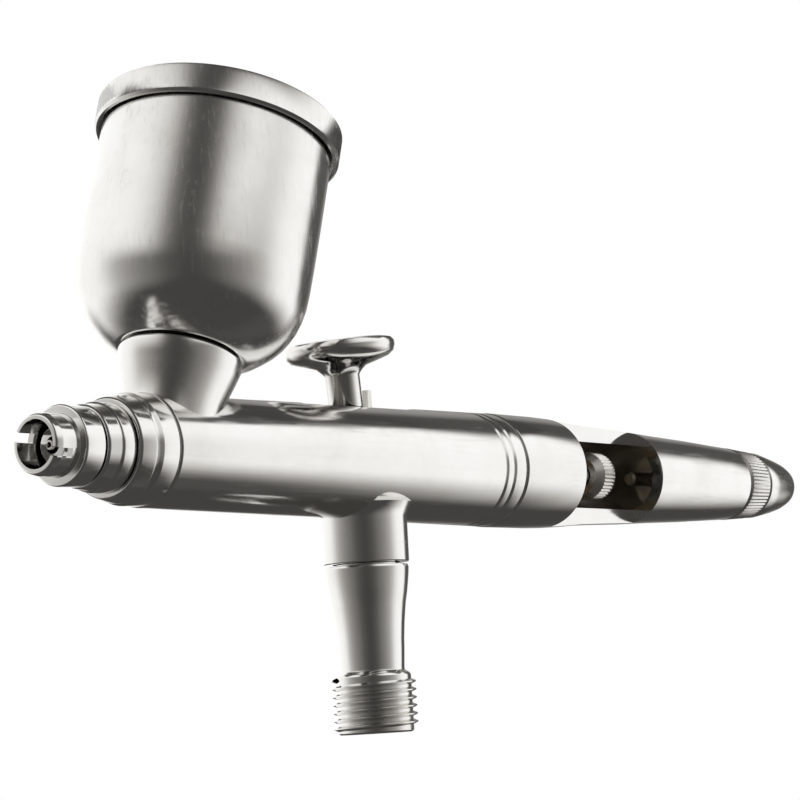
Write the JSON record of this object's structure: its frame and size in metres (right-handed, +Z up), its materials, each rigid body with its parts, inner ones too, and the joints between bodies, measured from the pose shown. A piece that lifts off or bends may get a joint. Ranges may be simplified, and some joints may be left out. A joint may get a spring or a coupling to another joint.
{
  "type": "airbrush gun",
  "caption": "Polished metal gravity-feed airbrush gun with a leaning paint cup, thumb trigger, windowed handle and threaded air inlet.",
  "frame": {"origin": "centre of the air inlet's end face, where the hose joins", "axes": "+Z up the air valve, -X along the gun towards its nozzle, -Y the side the handle's window opens on"},
  "size_m": [0.1506, 0.027, 0.0718],
  "materials": {
    "polished_chrome": "polished",
    "satin_nickel": "knurled satin",
    "stainless_steel": "fine ground",
    "brass": "turned",
    "white_seal": "matt",
    "black_rubber": "matt"
  },
  "bodies": {
    "gun": {"main_body": "polished_chrome", "cup_bowl": "polished_chrome", "nozzle_head": "polished_chrome", "air_cap": "polished_chrome", "fluid_nozzle": "stainless_steel", "nozzle_seal": "white_seal", "head_seal": "white_seal", "needle_packing": "white_seal", "packing_screw": "brass", "spring_case": "brass", "needle_spring": "stainless_steel", "handle": "polished_chrome", "valve_body": "polished_chrome", "valve_guide_screw": "brass", "plunger_seal": "black_rubber", "valve_spring": "stainless_steel"},
    "crown": {"crown_cap": "polished_chrome"},
    "lid": {"cup_lid": "polished_chrome"},
    "plunger": {"valve_plunger": "stainless_steel", "valve_seal": "black_rubber"},
    "trigger_lever": {"trigger": "polished_chrome"},
    "lever": {"auxiliary_lever": "satin_nickel"},
    "needle_group": {"needle": "stainless_steel", "needle_tube": "brass"},
    "nut": {"chuck_nut": "satin_nickel"},
    "ring": {"lock_ring": "satin_nickel"},
    "knob": {"end_knob": "polished_chrome", "stop_rod": "brass"}
  },
  "joints": [
    {"name": "trigger_press", "type": "slide", "parent": "gun", "child": "plunger", "axis": [0, 0, -1], "range_m": [0, 0.002], "stiffness_N_per_m": 300, "springref_m": -0.003, "deforming": ["valve_spring"]},
    {"name": "trigger_pull", "type": "hinge", "parent": "plunger", "child": "trigger_lever", "pos_m": [-0.001, 0, 0.026], "axis": [0, 1, 0], "range_deg": [0, 22], "stiffness_Nm_per_rad": 0.02, "springref_deg": -17.19},
    {"name": "lever_swing", "type": "hinge", "parent": "gun", "child": "lever", "pos_m": [0.00155, 0, 0.02705], "axis": [0, 1, 0], "range_deg": [0, 33]},
    {"name": "needle_draw", "type": "slide", "parent": "gun", "child": "needle_group", "axis": [1, 0, 0], "range_m": [0, 0.003], "deforming": ["needle_spring"]},
    {"name": "chuck_nut_turn", "type": "hinge", "parent": "needle_group", "child": "nut", "pos_m": [0.048, 0, 0.0308], "axis": [1, 0, 0], "continuous": true},
    {"name": "crown_turn", "type": "hinge", "parent": "gun", "child": "crown", "pos_m": [-0.05, 0, 0.0308], "axis": [1, 0, 0], "continuous": true},
    {"name": "lid_lift", "type": "slide", "parent": "gun", "child": "lid", "axis": [0.309, 0, 0.9511], "range_m": [0, 0.02]},
    {"name": "lock_ring_turn", "type": "hinge", "parent": "gun", "child": "ring", "pos_m": [0.0844, 0, 0.0308], "axis": [1, 0, 0], "continuous": true},
    {"name": "end_knob_turn", "type": "hinge", "parent": "gun", "child": "knob", "pos_m": [0.093, 0, 0.0308], "axis": [1, 0, 0], "range_deg": [0, 1440]}
  ],
  "couplings": [
    {"joint": "lever_swing", "follows": "trigger_pull", "ratio": 1.5},
    {"joint": "needle_draw", "follows": "trigger_pull", "m_per_rad": 0.0078}
  ]
}
